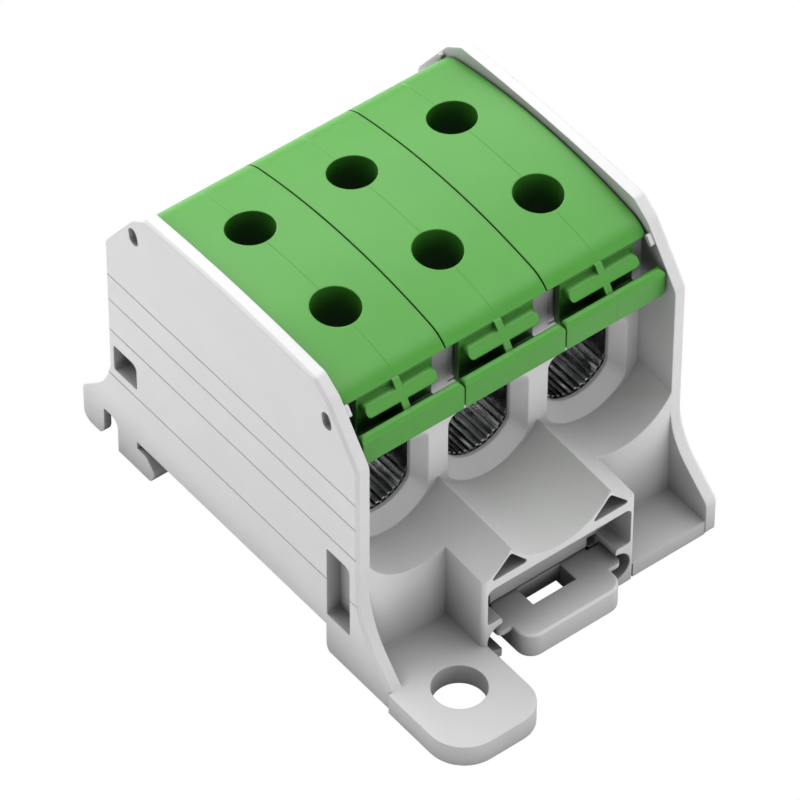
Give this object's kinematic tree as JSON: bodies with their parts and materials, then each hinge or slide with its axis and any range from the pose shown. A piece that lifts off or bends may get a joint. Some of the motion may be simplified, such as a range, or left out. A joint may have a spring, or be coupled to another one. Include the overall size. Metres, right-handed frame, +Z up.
{
  "type": "power distribution block",
  "caption": "Rail-mounted terminal block for power conductors, with clip-on covers, screw clamps, a rail latch and ears for screws.",
  "frame": {"origin": "centre of the footprint, on the surface that the feet stand on", "axes": "+Z up, +X along the row of poles, +Y along the conductors to the side without the latch"},
  "size_m": [0.047, 0.0824, 0.0432],
  "materials": {
    "housing_plastic": "light grey moulded polyamide, fine satin",
    "latch_plastic": "light grey moulded polyamide, fine satin",
    "cover_plastic": "green moulded plastic, satin",
    "clamp_metal": "tin plated",
    "screw_steel": "zinc plated"
  },
  "bodies": {
    "block": {"housing": "housing_plastic", "clamp_body_left": "clamp_metal", "clamp_body_middle": "clamp_metal", "clamp_body_right": "clamp_metal"},
    "latch": {"rail_latch": "latch_plastic"},
    "cover_left": {"cover_left": "cover_plastic"},
    "screw_left_front": {"clamp_screw_left_front": "screw_steel"},
    "screw_left_back": {"clamp_screw_left_back": "screw_steel"},
    "cover_middle": {"cover_middle": "cover_plastic"},
    "screw_middle_front": {"clamp_screw_middle_front": "screw_steel"},
    "screw_middle_back": {"clamp_screw_middle_back": "screw_steel"},
    "cover_right": {"cover_right": "cover_plastic"},
    "screw_right_front": {"clamp_screw_right_front": "screw_steel"},
    "screw_right_back": {"clamp_screw_right_back": "screw_steel"}
  },
  "joints": [
    {"name": "latch_slide", "type": "slide", "parent": "block", "child": "latch", "axis": [0, -1, 0], "range_m": [0, 0.0045]},
    {"name": "cover_left_lift", "type": "slide", "parent": "block", "child": "cover_left", "axis": [0, 0, 1], "range_m": [0, 0.012]},
    {"name": "screw_left_front_travel", "type": "slide", "parent": "block", "child": "screw_left_front", "axis": [0, 0, -1], "range_m": [0, 0.0073]},
    {"name": "screw_left_back_travel", "type": "slide", "parent": "block", "child": "screw_left_back", "axis": [0, 0, -1], "range_m": [0, 0.0073]},
    {"name": "cover_middle_lift", "type": "slide", "parent": "block", "child": "cover_middle", "axis": [0, 0, 1], "range_m": [0, 0.012]},
    {"name": "screw_middle_front_travel", "type": "slide", "parent": "block", "child": "screw_middle_front", "axis": [0, 0, -1], "range_m": [0, 0.0073]},
    {"name": "screw_middle_back_travel", "type": "slide", "parent": "block", "child": "screw_middle_back", "axis": [0, 0, -1], "range_m": [0, 0.0073]},
    {"name": "cover_right_lift", "type": "slide", "parent": "block", "child": "cover_right", "axis": [0, 0, 1], "range_m": [0, 0.012]},
    {"name": "screw_right_front_travel", "type": "slide", "parent": "block", "child": "screw_right_front", "axis": [0, 0, -1], "range_m": [0, 0.0073]},
    {"name": "screw_right_back_travel", "type": "slide", "parent": "block", "child": "screw_right_back", "axis": [0, 0, -1], "range_m": [0, 0.0073]}
  ]
}
